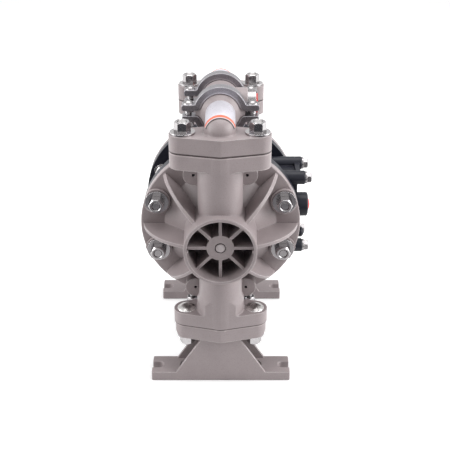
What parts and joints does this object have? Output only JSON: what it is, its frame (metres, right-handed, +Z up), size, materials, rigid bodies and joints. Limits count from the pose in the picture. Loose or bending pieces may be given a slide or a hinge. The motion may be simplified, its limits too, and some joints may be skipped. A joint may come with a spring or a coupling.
{
  "type": "air operated double diaphragm pump",
  "caption": "Air operated double diaphragm pump with domed fluid caps, swivelling inlet and outlet tees, an air valve block on one side and bolted feet.",
  "frame": {"origin": "on the floor, at the middle of the two feet, under the middle of the pump", "axes": "+Z up; Y along the diaphragm rod, with the front fluid cap towards -Y; +X towards the air valve and the ports"},
  "size_m": [0.1678, 0.2122, 0.2835],
  "materials": {
    "grey_plastic": "satin moulded",
    "black_plastic": "satin moulded",
    "stainless_steel": "brushed",
    "seal_rubber": "matt",
    "red_plastic": "satin moulded",
    "aluminium_alloy": "machined",
    "bearing_plastic": "machined",
    "ball_rubber": "matt"
  },
  "bodies": {
    "housing": {"air_inlet_plug": "red_plastic", "centre_housing": "black_plastic", "clamp_nuts": "stainless_steel", "clamp_screws": "stainless_steel", "flange_bolts": "stainless_steel", "flange_nuts": "stainless_steel", "flange_seals": "seal_rubber", "flange_washers": "stainless_steel", "front_air_cap": "black_plastic", "front_diaphragm": "seal_rubber", "front_fluid_cap": "grey_plastic", "front_inlet_clamp_bottom": "stainless_steel", "front_inlet_clamp_top": "stainless_steel", "front_inlet_foot": "grey_plastic", "front_inlet_seat": "bearing_plastic", "front_outlet_clamp_bottom": "stainless_steel", "front_outlet_clamp_top": "stainless_steel", "front_outlet_elbow": "grey_plastic", "front_outlet_seat": "bearing_plastic", "pilot_bushings": "bearing_plastic", "rear_air_cap": "black_plastic", "rear_diaphragm": "seal_rubber", "rear_fluid_cap": "grey_plastic", "rear_inlet_clamp_bottom": "stainless_steel", "rear_inlet_clamp_top": "stainless_steel", "rear_inlet_foot": "grey_plastic", "rear_inlet_seat": "bearing_plastic", "rear_outlet_clamp_bottom": "stainless_steel", "rear_outlet_clamp_top": "stainless_steel", "rear_outlet_elbow": "grey_plastic", "rear_outlet_seat": "bearing_plastic", "rim_bolts": "stainless_steel", "rim_nuts": "stainless_steel", "rim_screws": "stainless_steel", "rim_washers": "stainless_steel", "rod_bushings": "bearing_plastic", "rod_seals": "seal_rubber", "swivel_seals": "seal_rubber", "valve_block": "black_plastic", "valve_bolts": "stainless_steel", "valve_bottom_cap": "black_plastic", "valve_gasket": "seal_rubber", "valve_top_cap": "black_plastic"},
    "shuttle": {"diaphragm_rod": "stainless_steel", "front_air_plate": "aluminium_alloy", "front_fluid_plate": "bearing_plastic", "rear_air_plate": "aluminium_alloy", "rear_fluid_plate": "bearing_plastic", "rod_screws": "stainless_steel"},
    "pilot_rod": {"pilot_rod": "stainless_steel"},
    "valve_spool": {"valve_spool": "aluminium_alloy"},
    "front_inlet_ball": {"front_inlet_ball": "ball_rubber"},
    "rear_inlet_ball": {"rear_inlet_ball": "ball_rubber"},
    "front_outlet_ball": {"front_outlet_ball": "ball_rubber"},
    "rear_outlet_ball": {"rear_outlet_ball": "ball_rubber"},
    "outlet_tee": {"outlet_port_plug": "red_plastic", "outlet_port_ring": "stainless_steel", "outlet_tee": "grey_plastic"},
    "inlet_tee": {"inlet_port_ring": "stainless_steel", "inlet_tee": "grey_plastic"}
  },
  "joints": [
    {"name": "shuttle_slide", "type": "slide", "parent": "housing", "child": "shuttle", "axis": [0, 1, 0], "range_m": [-0.007, 0.007], "deforming": ["front_diaphragm", "rear_diaphragm"]},
    {"name": "pilot_slide", "type": "slide", "parent": "housing", "child": "pilot_rod", "axis": [0, 1, 0], "range_m": [-0.004, 0.004]},
    {"name": "spool_slide", "type": "slide", "parent": "housing", "child": "valve_spool", "axis": [0, 0, 1], "range_m": [-0.008, 0.008]},
    {"name": "front_inlet_ball_lift", "type": "slide", "parent": "housing", "child": "front_inlet_ball", "axis": [0, 0, 1], "range_m": [0, 0.006]},
    {"name": "front_outlet_ball_lift", "type": "slide", "parent": "housing", "child": "front_outlet_ball", "axis": [0, 0, 1], "range_m": [0, 0.006]},
    {"name": "rear_inlet_ball_lift", "type": "slide", "parent": "housing", "child": "rear_inlet_ball", "axis": [0, 0, 1], "range_m": [0, 0.006]},
    {"name": "rear_outlet_ball_lift", "type": "slide", "parent": "housing", "child": "rear_outlet_ball", "axis": [0, 0, 1], "range_m": [0, 0.006]},
    {"name": "outlet_tee_swivel", "type": "hinge", "parent": "housing", "child": "outlet_tee", "pos_m": [0, 0, 0.2585], "axis": [0, 1, 0], "range_deg": [-90, 90]},
    {"name": "inlet_tee_swivel", "type": "hinge", "parent": "housing", "child": "inlet_tee", "pos_m": [0, 0, 0.044], "axis": [0, 1, 0], "range_deg": [-90, 90]}
  ],
  "couplings": [
    {"joint": "pilot_slide", "follows": "shuttle_slide", "ratio": 0.57}
  ]
}
